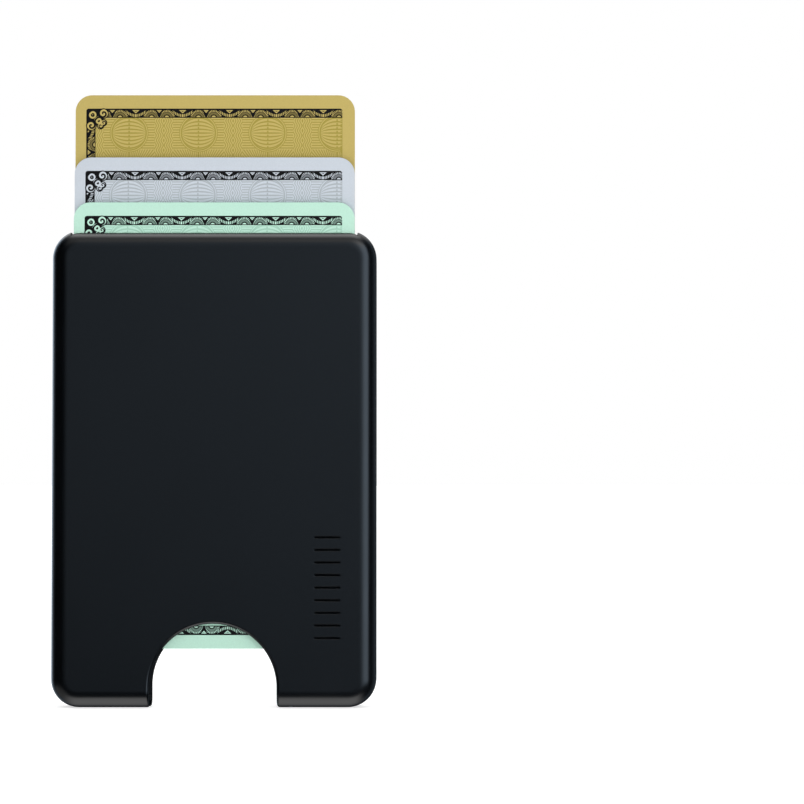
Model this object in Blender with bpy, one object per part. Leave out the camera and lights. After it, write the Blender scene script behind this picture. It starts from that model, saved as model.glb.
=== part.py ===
"""Minimalist card wallet that stands upright on its bottom edge.

Frame: +X to the right, +Z up, the front wall faces -Y. The origin is the middle of the
bottom edge. Lengths are in metres. The wallet is a stack of plates along Y: front shell,
cards in their frame, steel shield, magnets in their carrier, back cover and back pad.
"""

import math

import bmesh
import bpy
from mathutils import Matrix

# ---- driving dimensions -------------------------------------------------------------

WIDTH = 0.0624
HEIGHT = 0.0916
CORNER_RADIUS = 0.0055
FRONT_ROUND = 0.0030
BACK_ROUND = 0.0015
SHELL_WALL = 0.0012

NOTCH_HALF_WIDTH = 0.01215
NOTCH_HEIGHT = 0.0161

CARD_WIDTH = 0.05398
CARD_HEIGHT = 0.08560
CARD_THICKNESS = 0.00076
CARD_RADIUS = 0.00318
CARD_SEAT_Z = 0.0024
CARD_SLACK = 0.00019
POCKET_HALF_WIDTH = 0.0275

# Lift of each card above its seat, front card first.
CARD_LIFTS = {"card_green": 0.0089, "card_silver": 0.0177, "card_gold": 0.0299}

# The stack along Y, front to back.
FRONT_Y = -0.0036
POCKET_FRONT_Y = FRONT_Y + SHELL_WALL
POCKET_BACK_Y = POCKET_FRONT_Y + 3 * CARD_THICKNESS + 4 * CARD_SLACK
FRAME_BACK_Y = 0.00114
SHELL_BACK_Y = 0.00130
SHIELD_Y = (0.00124, 0.00144)
COVER_FRONT_Y = 0.00140
CARRIER_Y = (0.00154, 0.00235)
MAGNET_Y = (0.00157, 0.00232)
COVER_FLOOR_Y = 0.00245
PAD_RECESS_Y = 0.00300
ADHESIVE_Y = (0.00305, 0.00315)
PAD_Y = (0.00320, 0.00360)
BACK_Y = 0.0036

# The top edge falls towards the back from here, by this slope.
TOP_SLOPE_START_Y = -0.0009
TOP_SLOPE = math.radians(13.0)
# What lies behind the cards ends this much lower at the top.
BACK_TOP_DROP = 0.0004

# Clearances between pieces that nest.
FIT_GAP = 0.0001
COVER_WALL = 0.0015
COVER_NOTCH_WALL = 0.0012
PAD_INSET = 0.0017
PAD_NOTCH_MARGIN = 0.0008
PAD_GAP = 0.00005
# The adhesive sheet ends this far inside the pad's edge.
ADHESIVE_MARGIN = 0.0003

# Magnet ring, as phones with a magnetic back expect it.
RING_CENTRE_Z = 0.0590
RING_INNER_RADIUS = 0.0232
RING_OUTER_RADIUS = 0.0270
RING_MAGNETS = 16
RING_RIB = math.radians(3.0)
ALIGNMENT_SIZE = (0.0060, 0.0100)
ALIGNMENT_RADIUS = 0.0005
ALIGNMENT_Z = 0.0245

# Friction strips in the card guides.
STRIP_Z = (0.0250, 0.0800)
STRIP_X = (0.0273, 0.0284)
STRIP_Y = (-0.0018, 0.0002)
STRIP_RADIUS = 0.0004

CORNER_STEPS = 8
SMALL_CORNER_STEPS = 3
MAGNET_STEPS = 6
NOTCH_STEPS = 28
ROUND_SEGMENTS = 5
SMOOTH_ANGLE = math.radians(30.0)
WELD_DISTANCE = 1e-6
# How far a cutter runs past what it cuts.
OVERRUN = 0.0020
SLOPE_BLOCK = 0.0100

MATERIALS = {
    "soft_touch": ((0.012, 0.014, 0.016), 0.48, 0.0),
    "frame_plastic": ((0.010, 0.010, 0.011), 0.55, 0.0),
    "silicone": ((0.030, 0.030, 0.032), 0.70, 0.0),
    "cover_plastic": ((0.012, 0.013, 0.015), 0.45, 0.0),
    "steel": ((0.560, 0.570, 0.580), 0.35, 1.0),
    "carrier_plastic": ((0.030, 0.030, 0.032), 0.60, 0.0),
    "nickel": ((0.660, 0.640, 0.600), 0.22, 1.0),
    "adhesive": ((0.650, 0.640, 0.600), 0.60, 0.0),
    "pad": ((0.0055, 0.0055, 0.0055), 0.80, 0.0),
    "card_green": ((0.530, 0.815, 0.680), 0.40, 0.0),
    "card_silver": ((0.610, 0.650, 0.740), 0.38, 0.0),
    "card_gold": ((0.570, 0.455, 0.155), 0.36, 0.0),
}


# ---- scene ---------------------------------------------------------------------------


def clear_scene():
    for old in list(bpy.data.objects):
        bpy.data.objects.remove(old, do_unlink=True)


def new_collection(name):
    collection = bpy.data.collections.new(name)
    bpy.context.scene.collection.children.link(collection)
    return collection


def make_material(name):
    colour, roughness, metallic = MATERIALS[name]
    material = bpy.data.materials.new(name)
    material.use_nodes = True
    shader = material.node_tree.nodes["Principled BSDF"]
    shader.inputs["Base Color"].default_value = (*colour, 1.0)
    shader.inputs["Roughness"].default_value = roughness
    shader.inputs["Metallic"].default_value = metallic
    return material


# ---- outlines in the X-Z plane ---------------------------------------------------------


def arc(centre, radius, start, end, steps):
    """Points from angle start to angle end, both included."""
    points = []
    for step in range(steps + 1):
        angle = start + (end - start) * step / steps
        x = centre[0] + radius * math.cos(angle)
        z = centre[1] + radius * math.sin(angle)
        points.append((x, z))
    return points


def rounded_rectangle(left, right, bottom, top, radius, steps=CORNER_STEPS):
    """Anticlockwise outline that starts at the bottom left corner."""
    quarter = math.pi / 2
    corners = (
        (left + radius, bottom + radius, 2 * quarter),
        (right - radius, bottom + radius, 3 * quarter),
        (right - radius, top - radius, 4 * quarter),
        (left + radius, top - radius, 5 * quarter),
    )
    points = []
    for x, z, start in corners:
        points += arc((x, z), radius, start, start + quarter, steps)
    return points


def body_outline(inset, top_drop=0.0):
    """The wallet's own outline, moved inwards by inset."""
    half = WIDTH / 2 - inset
    radius = CORNER_RADIUS - inset
    return rounded_rectangle(-half, half, inset, HEIGHT - inset - top_drop, radius)


def notched_outline(inset, notch_margin, top_drop=0.0):
    """The body outline with the thumb notch taken out of its bottom edge."""
    points = body_outline(inset, top_drop)
    radius = NOTCH_HALF_WIDTH + notch_margin
    spring_z = NOTCH_HEIGHT - NOTCH_HALF_WIDTH
    arch = [(-radius, inset)]
    arch += arc((0.0, spring_z), radius, math.pi, 0.0, NOTCH_STEPS)
    arch.append((radius, inset))
    bottom_left = CORNER_STEPS + 1
    return points[:bottom_left] + arch + points[bottom_left:]


def arch_outline(radius):
    """The thumb notch itself, open past the bottom edge."""
    spring_z = NOTCH_HEIGHT - NOTCH_HALF_WIDTH
    points = [(-radius, -OVERRUN), (radius, -OVERRUN)]
    return points + arc((0.0, spring_z), radius, 0.0, math.pi, NOTCH_STEPS)


def magnet_outline(index, growth=0.0):
    """One arc segment of the magnet ring, grown all round by growth."""
    pitch = 2 * math.pi / RING_MAGNETS
    middle = math.pi / 2 + index * pitch
    centre = (0.0, RING_CENTRE_Z)
    inner = RING_INNER_RADIUS - growth
    outer = RING_OUTER_RADIUS + growth
    half_outer = (pitch - RING_RIB) / 2 + growth / outer
    half_inner = (pitch - RING_RIB) / 2 + growth / inner
    outer_arc = arc(centre, outer, middle - half_outer, middle + half_outer, MAGNET_STEPS)
    inner_arc = arc(centre, inner, middle + half_inner, middle - half_inner, MAGNET_STEPS)
    return outer_arc + inner_arc


def alignment_outline(growth=0.0):
    half_width = ALIGNMENT_SIZE[0] / 2 + growth
    half_height = ALIGNMENT_SIZE[1] / 2 + growth
    bottom = ALIGNMENT_Z - half_height
    top = ALIGNMENT_Z + half_height
    return rounded_rectangle(
        -half_width, half_width, bottom, top, ALIGNMENT_RADIUS, SMALL_CORNER_STEPS
    )


# ---- plates and cutters ------------------------------------------------------------------


def plate(name, outlines, y_span, collection, rounds=()):
    """A flat piece between two Y planes. The first outline is its edge, the others are holes.

    rounds lists (side, radius) for the edge to round: side is "front" or "back".
    """
    curve = bpy.data.curves.new(name, "CURVE")
    curve.dimensions = "2D"
    curve.fill_mode = "BOTH"
    curve.extrude = (y_span[1] - y_span[0]) / 2
    for outline in outlines:
        spline = curve.splines.new("POLY")
        spline.points.add(len(outline) - 1)
        for point, (x, z) in zip(spline.points, outline):
            point.co = (x, z, 0.0, 1.0)
        spline.use_cyclic_u = True

    drawn = bpy.data.objects.new(name + "_outline", curve)
    collection.objects.link(drawn)
    drawn.location = (0.0, (y_span[0] + y_span[1]) / 2, 0.0)
    drawn.rotation_euler = (math.pi / 2, 0.0, 0.0)
    bpy.context.view_layer.update()

    depsgraph = bpy.context.evaluated_depsgraph_get()
    mesh = bpy.data.meshes.new_from_object(drawn.evaluated_get(depsgraph))
    piece = bpy.data.objects.new(name, mesh)
    piece.matrix_world = drawn.matrix_world
    collection.objects.link(piece)
    bpy.data.objects.remove(drawn, do_unlink=True)

    shape = bmesh.new()
    shape.from_mesh(mesh)
    bmesh.ops.remove_doubles(shape, verts=shape.verts, dist=WELD_DISTANCE)
    shape.normal_update()
    for side, radius in rounds:
        round_rim(shape, side, radius)
    bmesh.ops.recalc_face_normals(shape, faces=shape.faces)
    shape.to_mesh(mesh)
    shape.free()
    mesh.shade_smooth()
    mesh.set_sharp_from_angle(angle=SMOOTH_ANGLE)
    return piece


def round_rim(shape, side, radius):
    """Rounds the rim of a fresh plate. The plate's own +Z side is the wallet's front."""
    facing = 1.0 if side == "front" else -1.0
    cap = [face for face in shape.faces if face.normal.z * facing > 0.5]
    merged = bmesh.ops.dissolve_faces(shape, faces=cap)["region"]
    bmesh.ops.bevel(
        shape,
        geom=list(merged[0].edges),
        offset=radius,
        offset_type="OFFSET",
        segments=ROUND_SEGMENTS,
        profile=0.5,
        affect="EDGES",
        clamp_overlap=False,
    )


def box(name, low, high, collection):
    shape = bmesh.new()
    size = [b - a for a, b in zip(low, high)]
    bmesh.ops.create_cube(shape, size=1.0, matrix=Matrix.Diagonal((*size, 1.0)))
    mesh = bpy.data.meshes.new(name)
    shape.to_mesh(mesh)
    shape.free()
    piece = bpy.data.objects.new(name, mesh)
    piece.location = [(a + b) / 2 for a, b in zip(low, high)]
    collection.objects.link(piece)
    return piece


def cut(target, *cutters):
    for cutter in cutters:
        cutter.hide_render = True
        cutter.display_type = "WIRE"
        modifier = target.modifiers.new(cutter.name, "BOOLEAN")
        modifier.operation = "DIFFERENCE"
        modifier.solver = "EXACT"
        modifier.object = cutter


def make_notch_cutter(cutters):
    span = (FRONT_Y - OVERRUN, BACK_Y + OVERRUN)
    return plate("notch_cutter", [arch_outline(NOTCH_HALF_WIDTH)], span, cutters)


def make_slope_cutter(cutters):
    """A block whose underside is the sloped top edge; it turns about the slope's start."""
    low = (-WIDTH, 0.0, 0.0)
    high = (WIDTH, SLOPE_BLOCK, SLOPE_BLOCK)
    cutter = box("slope_cutter", low, high, cutters)
    turn = Matrix.Rotation(-TOP_SLOPE, 4, "X")
    shift = Matrix.Translation((0.0, TOP_SLOPE_START_Y, HEIGHT))
    cutter.matrix_world = shift @ turn @ Matrix.Translation(cutter.location)
    return cutter


# ---- the wallet's pieces -------------------------------------------------------------------


def make_front_shell(parts, cutters, notch, slope):
    """Front wall, sides and bottom in one tray, with the card mouth in its top wall."""
    span = (FRONT_Y, SHELL_BACK_Y)
    shell = plate("front_shell", [body_outline(0.0)], span, parts, [("front", FRONT_ROUND)])
    hollow_span = (POCKET_FRONT_Y, SHELL_BACK_Y + OVERRUN)
    hollow_round = FRONT_ROUND - SHELL_WALL
    hollow = plate(
        "shell_hollow_cutter",
        [body_outline(SHELL_WALL)],
        hollow_span,
        cutters,
        [("front", hollow_round)],
    )
    mouth = box(
        "mouth_cutter",
        (-POCKET_HALF_WIDTH, POCKET_FRONT_Y, HEIGHT / 2),
        (POCKET_HALF_WIDTH, SHELL_BACK_Y + OVERRUN, HEIGHT + OVERRUN),
        cutters,
    )
    cut(shell, hollow, mouth, notch, slope)
    return shell


def make_card_frame(parts, cutters, notch):
    """Card guides left and right, the card stop below, and the pocket's back wall."""
    inset = SHELL_WALL + FIT_GAP
    span = (POCKET_FRONT_Y + FIT_GAP, FRAME_BACK_Y)
    edge_round = FRONT_ROUND - inset
    frame = plate("card_frame", [body_outline(inset)], span, parts, [("front", edge_round)])
    pocket = box(
        "pocket_cutter",
        (-POCKET_HALF_WIDTH, POCKET_FRONT_Y - OVERRUN, CARD_SEAT_Z - FIT_GAP),
        (POCKET_HALF_WIDTH, POCKET_BACK_Y, HEIGHT + OVERRUN),
        cutters,
    )
    cut(frame, pocket, notch)
    for side in (-1, 1):
        groove = make_strip(f"strip_groove_cutter_{side:+d}", side, FIT_GAP, cutters)
        cut(frame, groove)
    return frame


def make_strip(name, side, growth, collection):
    """A friction strip, or with growth its groove, in the left (-1) or right (+1) guide."""
    near = STRIP_X[0] - growth
    far = STRIP_X[1] + growth
    left = near if side > 0 else -far
    right = far if side > 0 else -near
    bottom = STRIP_Z[0] - growth
    top = STRIP_Z[1] + growth
    outline = rounded_rectangle(left, right, bottom, top, STRIP_RADIUS, SMALL_CORNER_STEPS)
    span = (STRIP_Y[0] - growth, STRIP_Y[1] + growth)
    return plate(name, [outline], span, collection)


def make_shield(parts):
    inset = COVER_WALL + 2 * FIT_GAP
    margin = COVER_NOTCH_WALL + 2 * FIT_GAP
    outline = notched_outline(inset, margin, BACK_TOP_DROP)
    return plate("shield_plate", [outline], SHIELD_Y, parts)


def make_magnet_carrier(parts):
    """Plastic plate with a window for each magnet."""
    inset = COVER_WALL + 2 * FIT_GAP
    margin = COVER_NOTCH_WALL + 2 * FIT_GAP
    outlines = [notched_outline(inset, margin, BACK_TOP_DROP)]
    outlines += [magnet_outline(index, FIT_GAP) for index in range(RING_MAGNETS)]
    outlines.append(alignment_outline(FIT_GAP))
    return plate("magnet_carrier", outlines, CARRIER_Y, parts)


def make_magnets(parts):
    magnets = []
    for index in range(RING_MAGNETS):
        name = f"magnet_{index + 1:02d}"
        magnets.append(plate(name, [magnet_outline(index)], MAGNET_Y, parts))
    magnets.append(plate("alignment_magnet", [alignment_outline()], MAGNET_Y, parts))
    return magnets


def make_back_cover(parts, cutters, notch, slope):
    """Dished lid with a recess for the pad in its back and room for the magnets in its front."""
    span = (COVER_FRONT_Y, BACK_Y)
    cover = plate("back_cover", [body_outline(0.0)], span, parts, [("back", BACK_ROUND)])
    bay = plate(
        "magnet_bay_cutter",
        [notched_outline(COVER_WALL, COVER_NOTCH_WALL, BACK_TOP_DROP)],
        (COVER_FRONT_Y - OVERRUN, COVER_FLOOR_Y),
        cutters,
    )
    recess = plate(
        "pad_recess_cutter",
        [notched_outline(PAD_INSET - PAD_GAP, PAD_NOTCH_MARGIN - PAD_GAP, BACK_TOP_DROP)],
        (PAD_RECESS_Y, BACK_Y + OVERRUN),
        cutters,
    )
    cut(cover, bay, recess, notch, slope)
    return cover


def make_pad_layer(name, y_span, shrink, parts):
    inset = PAD_INSET + shrink
    margin = PAD_NOTCH_MARGIN + shrink
    return plate(name, [notched_outline(inset, margin, BACK_TOP_DROP)], y_span, parts)


def make_cards(parts):
    """Three cards, front one first, each with its origin at its own middle."""
    cards = []
    front = POCKET_FRONT_Y + CARD_SLACK
    half = CARD_WIDTH / 2
    outline = rounded_rectangle(-half, half, 0.0, CARD_HEIGHT, CARD_RADIUS)
    for name, lift in CARD_LIFTS.items():
        card = plate(name, [outline], (front, front + CARD_THICKNESS), parts)
        card.location.z = CARD_SEAT_Z + lift
        cards.append(card)
        front += CARD_THICKNESS + CARD_SLACK
    return cards


def build():
    clear_scene()
    parts = new_collection("minimalist_wallet")
    cutters = new_collection("cutters")
    notch = make_notch_cutter(cutters)
    slope = make_slope_cutter(cutters)

    finishes = {
        "soft_touch": [make_front_shell(parts, cutters, notch, slope)],
        "frame_plastic": [make_card_frame(parts, cutters, notch)],
        "cover_plastic": [make_back_cover(parts, cutters, notch, slope)],
        "silicone": [
            make_strip("grip_strip_left", -1, 0.0, parts),
            make_strip("grip_strip_right", 1, 0.0, parts),
        ],
        "steel": [make_shield(parts)],
        "carrier_plastic": [make_magnet_carrier(parts)],
        "nickel": make_magnets(parts),
        "adhesive": [make_pad_layer("adhesive_sheet", ADHESIVE_Y, ADHESIVE_MARGIN, parts)],
        "pad": [make_pad_layer("back_pad", PAD_Y, 0.0, parts)],
    }
    for card in make_cards(parts):
        finishes[card.name] = [card]

    for name, pieces in finishes.items():
        material = make_material(name)
        for piece in pieces:
            piece.data.materials.clear()
            piece.data.materials.append(material)


build()
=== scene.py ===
# %% [markdown]
# # A magnetic card wallet, from its engineering model to a finished picture
#
# The engineering model is the frame of this scene. It says where every piece is and what
# moves, and it is never changed here. This lesson dresses it: it models the pieces that a
# person sees again with fine edges, gives every piece its finish, and lights the result.
# Lengths are in metres, +Z is up, and the wallet's front wall faces -Y.

# %% Load the frame
import math

import bmesh
import bpy
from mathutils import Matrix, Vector


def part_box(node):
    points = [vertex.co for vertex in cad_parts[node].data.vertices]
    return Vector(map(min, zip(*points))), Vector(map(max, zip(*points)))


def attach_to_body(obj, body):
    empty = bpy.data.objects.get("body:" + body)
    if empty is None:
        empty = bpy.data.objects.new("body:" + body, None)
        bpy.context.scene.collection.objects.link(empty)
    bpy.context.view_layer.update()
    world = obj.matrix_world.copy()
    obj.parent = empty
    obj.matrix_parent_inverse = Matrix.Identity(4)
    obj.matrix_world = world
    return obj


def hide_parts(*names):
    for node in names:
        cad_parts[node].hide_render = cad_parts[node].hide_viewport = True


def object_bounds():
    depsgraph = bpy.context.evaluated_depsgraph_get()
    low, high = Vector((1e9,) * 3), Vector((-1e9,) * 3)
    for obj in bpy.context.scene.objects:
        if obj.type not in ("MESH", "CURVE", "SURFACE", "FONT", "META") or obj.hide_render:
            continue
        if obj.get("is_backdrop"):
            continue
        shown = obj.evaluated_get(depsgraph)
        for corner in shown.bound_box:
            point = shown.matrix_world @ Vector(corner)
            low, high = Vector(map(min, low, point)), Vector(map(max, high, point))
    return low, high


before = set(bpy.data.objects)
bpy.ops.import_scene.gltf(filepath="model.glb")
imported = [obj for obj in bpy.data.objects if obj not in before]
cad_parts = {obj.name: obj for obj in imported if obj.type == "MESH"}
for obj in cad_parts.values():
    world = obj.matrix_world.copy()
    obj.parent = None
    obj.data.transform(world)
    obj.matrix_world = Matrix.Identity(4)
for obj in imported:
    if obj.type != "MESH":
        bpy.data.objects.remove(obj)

MM = 0.001
cad_low, cad_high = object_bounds()
print("pieces in the frame:", len(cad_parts))

# %% [markdown]
# ## Sizes
#
# The frame knows how large each piece is, so its boxes give the width and all the planes.
# Radii can't be read from a box, and neither can the full height, because the mouth cuts
# away the top of the outline. They are the driving dimensions of the design, repeated
# here: a deep round on the front edge, a small one on the back, and an arched thumb notch.
# The front round is one that eases into the flat wall, so it starts a little further in
# than a plain 3 mm arc, and is fuller in its middle.

# %% Read the planes and name the radii
shell_low, shell_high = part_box("front_shell")
cover_low, cover_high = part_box("back_cover")
pad_low, pad_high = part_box("back_pad")

WIDTH = shell_high.x - shell_low.x
HEIGHT = 91.6 * MM
CORNER_RADIUS = 5.5 * MM
FRONT_ROUND = 3.4 * MM
FRONT_FULLNESS = 0.547
BACK_ROUND = 1.5 * MM
SHELL_WALL = 1.2 * MM
MOUTH_HALF_WIDTH = 27.5 * MM
NOTCH_RADIUS = 12.15 * MM
NOTCH_SPRING_Z = 3.95 * MM

FRONT_Y = shell_low.y
POCKET_FRONT_Y = FRONT_Y + SHELL_WALL
SHELL_BACK_Y = shell_high.y
COVER_FRONT_Y = cover_low.y
BACK_Y = cover_high.y

TOP_FALL = math.tan(math.radians(13.0))
TOP_FALL_START_Y = -0.9 * MM
TINY = 0.004 * MM
OVERRUN = 2.0 * MM


def top_drop(y):
    """How far the top edge has fallen at depth y."""
    return max(0.0, (y - TOP_FALL_START_Y) * TOP_FALL)


print(f"wallet {WIDTH / MM:.1f} x {(BACK_Y - FRONT_Y) / MM:.1f} x {HEIGHT / MM:.1f} mm")

# %% [markdown]
# ## Camera
#
# A wallet is a small object, so a short lens close by would show its side walls splaying
# out. A long lens nearly half a metre away keeps the outline square and still lets a
# little of the notch wall show. The camera stands to the right of the wallet and is
# tipped up by less than two degrees.

# %% Place the camera
CAMERA_PLACE = (36.1 * MM, -450.0 * MM, 44.8 * MM)
CAMERA_TIP_UP = math.radians(1.751)
CAMERA_LENS = 104.6
SENSOR_WIDTH = 36.0

camera_data = bpy.data.cameras.new("camera")
camera_data.sensor_width = SENSOR_WIDTH
camera_data.lens = CAMERA_LENS
camera_data.clip_start = 0.01
camera = bpy.data.objects.new("camera", camera_data)
camera.location = CAMERA_PLACE
camera.rotation_euler = (math.radians(90.0) + CAMERA_TIP_UP, 0.0, 0.0)
bpy.context.scene.collection.objects.link(camera)
bpy.context.scene.camera = camera
print("field of view:", round(math.degrees(camera_data.angle), 2), "degrees")

# %% [markdown]
# ## Modelling helpers
#
# Every piece below is modelled the way a person would do it by hand: add a block at its
# size and place, go into edit mode, pick a few edges, and bevel them. Picking by hand is a
# click. In a script it is a rule about where an edge lies, so one helper goes into edit
# mode with just the matching parts selected.

# %% Helpers for blocks and picks


def start_clean():
    """Object mode with nothing selected, so that the next operator finds only its own piece."""
    if bpy.context.object and bpy.context.object.mode != "OBJECT":
        bpy.ops.object.mode_set(mode="OBJECT")
    bpy.ops.object.select_all(action="DESELECT")


def make_active(piece):
    start_clean()
    piece.select_set(True)
    bpy.context.view_layer.objects.active = piece


def add_block(name, low, high):
    """A box between two corners, with its place in its mesh."""
    start_clean()
    low, high = Vector(low), Vector(high)
    bpy.ops.mesh.primitive_cube_add(size=1.0, location=(low + high) / 2, scale=high - low)
    block = bpy.context.object
    block.name = name
    block.data.name = name
    bpy.ops.object.transform_apply(location=True, rotation=True, scale=True)
    return block


def pick(piece, kind, rule):
    """Edit mode with only the VERTs, EDGEs or FACEs that obey the rule selected."""
    make_active(piece)
    bpy.ops.object.mode_set(mode="EDIT")
    bpy.ops.mesh.select_mode(type=kind)
    bpy.ops.mesh.select_all(action="DESELECT")
    shape = bmesh.from_edit_mesh(piece.data)
    shape.normal_update()
    parts = {"VERT": shape.verts, "EDGE": shape.edges, "FACE": shape.faces}[kind]
    found = [part for part in parts if rule(part)]
    for part in found:
        part.select_set(True)
    shape.select_flush_mode()
    bmesh.update_edit_mesh(piece.data)
    return len(found)


def round_edges(piece, rule, radius, segments, fullness=0.5):
    """Bevels the edges that obey the rule. A fullness of 0.5 is a plain arc."""
    count = pick(piece, "EDGE", rule)
    bpy.ops.mesh.bevel(
        offset=radius,
        offset_type="OFFSET",
        segments=segments,
        profile=fullness,
        affect="EDGES",
        clamp_overlap=False,
    )
    bpy.ops.object.mode_set(mode="OBJECT")
    print(f"{piece.name}: rounded {count} edges to {radius / MM:.2f} mm")


def inset_and_push(piece, rule, wall, depth):
    """Insets the faces that obey the rule, and moves what is inside along y by the depth."""
    pick(piece, "FACE", rule)
    bpy.ops.mesh.inset(thickness=wall)
    bpy.ops.mesh.extrude_region_move(
        TRANSFORM_OT_translate={"value": (0.0, depth, 0.0)}
    )
    bpy.ops.object.mode_set(mode="OBJECT")


# %% [markdown]
# Rules read best in words. These say whether a face looks straight forwards or backwards,
# and whether an edge runs front to back, lies in a plane at some depth, follows the thumb
# notch, or is a real corner and not a seam in a flat face.

# %% Rules for picking faces and edges
STRAIGHT = 0.99
CORNER_ANGLE = math.radians(40)
NOTCH_TOLERANCE = 0.02 * MM


def faces_front(face):
    return face.normal.y < -STRAIGHT


def faces_back(face):
    return face.normal.y > STRAIGHT


def runs_back(edge):
    a, b = edge.verts[0].co, edge.verts[1].co
    return abs(a.x - b.x) < TINY and abs(a.z - b.z) < TINY


def at_depth(y):
    return lambda edge: all(abs(vert.co.y - y) < TINY for vert in edge.verts)


def is_corner(edge):
    return len(edge.link_faces) == 2 and edge.calc_face_angle() > CORNER_ANGLE


def on_notch(edge):
    """True along the arch of the notch and down its two straight legs."""
    for vert in edge.verts:
        rise = max(0.0, vert.co.z - NOTCH_SPRING_Z)
        if abs(math.hypot(vert.co.x, rise) - NOTCH_RADIUS) > NOTCH_TOLERANCE:
            return False
    return True


# %% [markdown]
# Cutting is a Boolean modifier, applied at once. The cutter is an ordinary piece that is
# removed afterwards. `finish_surface` closes each piece's modelling: it smooths the rounds,
# keeps the flats flat with weighted normals, and leaves nothing live on the piece.

# %% Helpers for cutting and finishing
SMOOTH_ANGLE = math.radians(35)
FLATS_WEIGHT = 80


def carve(piece, cutter):
    """Takes the cutter's shape out of the piece and removes the cutter."""
    modifier = piece.modifiers.new("carve", "BOOLEAN")
    modifier.operation = "DIFFERENCE"
    modifier.solver = "EXACT"
    modifier.object = cutter
    make_active(piece)
    bpy.ops.object.modifier_apply(modifier=modifier.name)
    bpy.data.objects.remove(cutter, do_unlink=True)


def finish_surface(piece):
    make_active(piece)
    bpy.ops.object.shade_smooth_by_angle(angle=SMOOTH_ANGLE)
    modifier = piece.modifiers.new("weighted normals", "WEIGHTED_NORMAL")
    modifier.keep_sharp = True
    modifier.weight = FLATS_WEIGHT
    bpy.ops.object.modifier_apply(modifier=modifier.name)
    shape = bmesh.new()
    shape.from_mesh(piece.data)
    open_edges = sum(1 for edge in shape.edges if not edge.is_manifold)
    volume = shape.calc_volume(signed=True)
    shape.free()
    print(f"{piece.name}: {len(piece.data.polygons)} faces, {open_edges} open edges,",
          f"{volume / MM ** 3:.0f} mm3")


# %% [markdown]
# ## The rounded slab
#
# Shell, cover, pad and the hollows inside them all share one outline: a tall rectangle
# with round corners, whose top edge falls a little towards the back. So one function makes
# it at any inset, between any two depths. The four edges that run front to back are
# bevelled, and then the top of the rear outline is moved down. The notch that cuts through
# them has one shape as well: a block whose top is bevelled to an arch. Its bevel is a hair
# smaller than its half width, because two rounds that meet would leave doubled points.

# %% Make a rounded slab and the notch
CORNER_SEGMENTS = 20
ARCH_SEGMENTS = 32
ARCH_SHARE = 0.9999


def add_slab(name, inset, front_y, back_y, lowered=0.0):
    half = WIDTH / 2 - inset
    slab = add_block(
        name, (-half, front_y, inset), (half, back_y, HEIGHT - inset - lowered)
    )
    round_edges(slab, runs_back, CORNER_RADIUS - inset, CORNER_SEGMENTS)
    return slab


def lower_top(slab, y):
    """Moves the top of the outline at depth y down to the falling top edge."""
    top_start = HEIGHT - CORNER_RADIUS - TINY
    pick(slab, "VERT", lambda v: abs(v.co.y - y) < TINY and v.co.z > top_start)
    bpy.ops.transform.translate(value=(0.0, 0.0, -top_drop(y)))
    bpy.ops.object.mode_set(mode="OBJECT")


def cut_notch(piece, front_y, back_y, margin=0.0):
    """Cuts the thumb notch, wider by a margin, through all that lies between two depths."""
    radius = NOTCH_RADIUS + margin
    arch = add_block(
        "notch_cutter",
        (-radius, front_y - OVERRUN, -OVERRUN),
        (radius, back_y + OVERRUN, NOTCH_SPRING_Z + radius),
    )
    round_edges(
        arch,
        lambda edge: runs_back(edge) and edge.verts[0].co.z > 0.0,
        radius * ARCH_SHARE,
        ARCH_SEGMENTS,
    )
    carve(piece, arch)


def add_notched_slab(name, inset, margin, front_y, back_y, lowered=0.0):
    """A rounded slab that also keeps clear of the notch by a margin."""
    slab = add_slab(name, inset, front_y, back_y, lowered)
    cut_notch(slab, front_y, back_y, margin)
    return slab


# %% [markdown]
# ## Front shell
#
# On the real wallet this is one moulding: front wall, sides, bottom, and a mouth for the
# cards in the top. The deep round on its front edge is what catches the light, so it gets
# many segments. The inside is made as by hand too: the rear face is inset by the wall and
# pushed in to the pocket's depth. Then the mouth and the notch are cut through, and their
# edges get the small round that a mould leaves.

# %% Model the front shell
FRONT_SEGMENTS = 16
MOUTH_ROUND = 0.27 * MM
MOUTH_DEPTH = 3 * SHELL_WALL
NOTCH_EDGE_ROUND = 0.60 * MM

shell = add_slab("front_shell_moulding", 0.0, FRONT_Y, SHELL_BACK_Y)
round_edges(shell, at_depth(FRONT_Y), FRONT_ROUND, FRONT_SEGMENTS, FRONT_FULLNESS)
lower_top(shell, SHELL_BACK_Y)

inset_and_push(shell, faces_back, SHELL_WALL, POCKET_FRONT_Y - SHELL_BACK_Y)

mouth_low = (-MOUTH_HALF_WIDTH, POCKET_FRONT_Y, HEIGHT - MOUTH_DEPTH)
mouth_high = (MOUTH_HALF_WIDTH, SHELL_BACK_Y + OVERRUN, HEIGHT + OVERRUN)
carve(shell, add_block("mouth_cutter", mouth_low, mouth_high))
cut_notch(shell, FRONT_Y, SHELL_BACK_Y)

# %% [markdown]
# The outer edges of the notch run over the front wall, round the deep fillet and along the
# bottom. They lie on the arch and outside the pocket. The mouth's lip lies in the pocket's
# front plane, and its two ends stand at the mouth's half width.

# %% Round the notch and the mouth


def outer_notch_edge(edge):
    outside = all(
        vert.co.y < POCKET_FRONT_Y - TINY or vert.co.z < SHELL_WALL - TINY
        for vert in edge.verts
    )
    return is_corner(edge) and on_notch(edge) and outside and not at_depth(SHELL_BACK_Y)(edge)


def above_top_wall(edge):
    return all(vert.co.z > HEIGHT - SHELL_WALL + TINY for vert in edge.verts)


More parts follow.
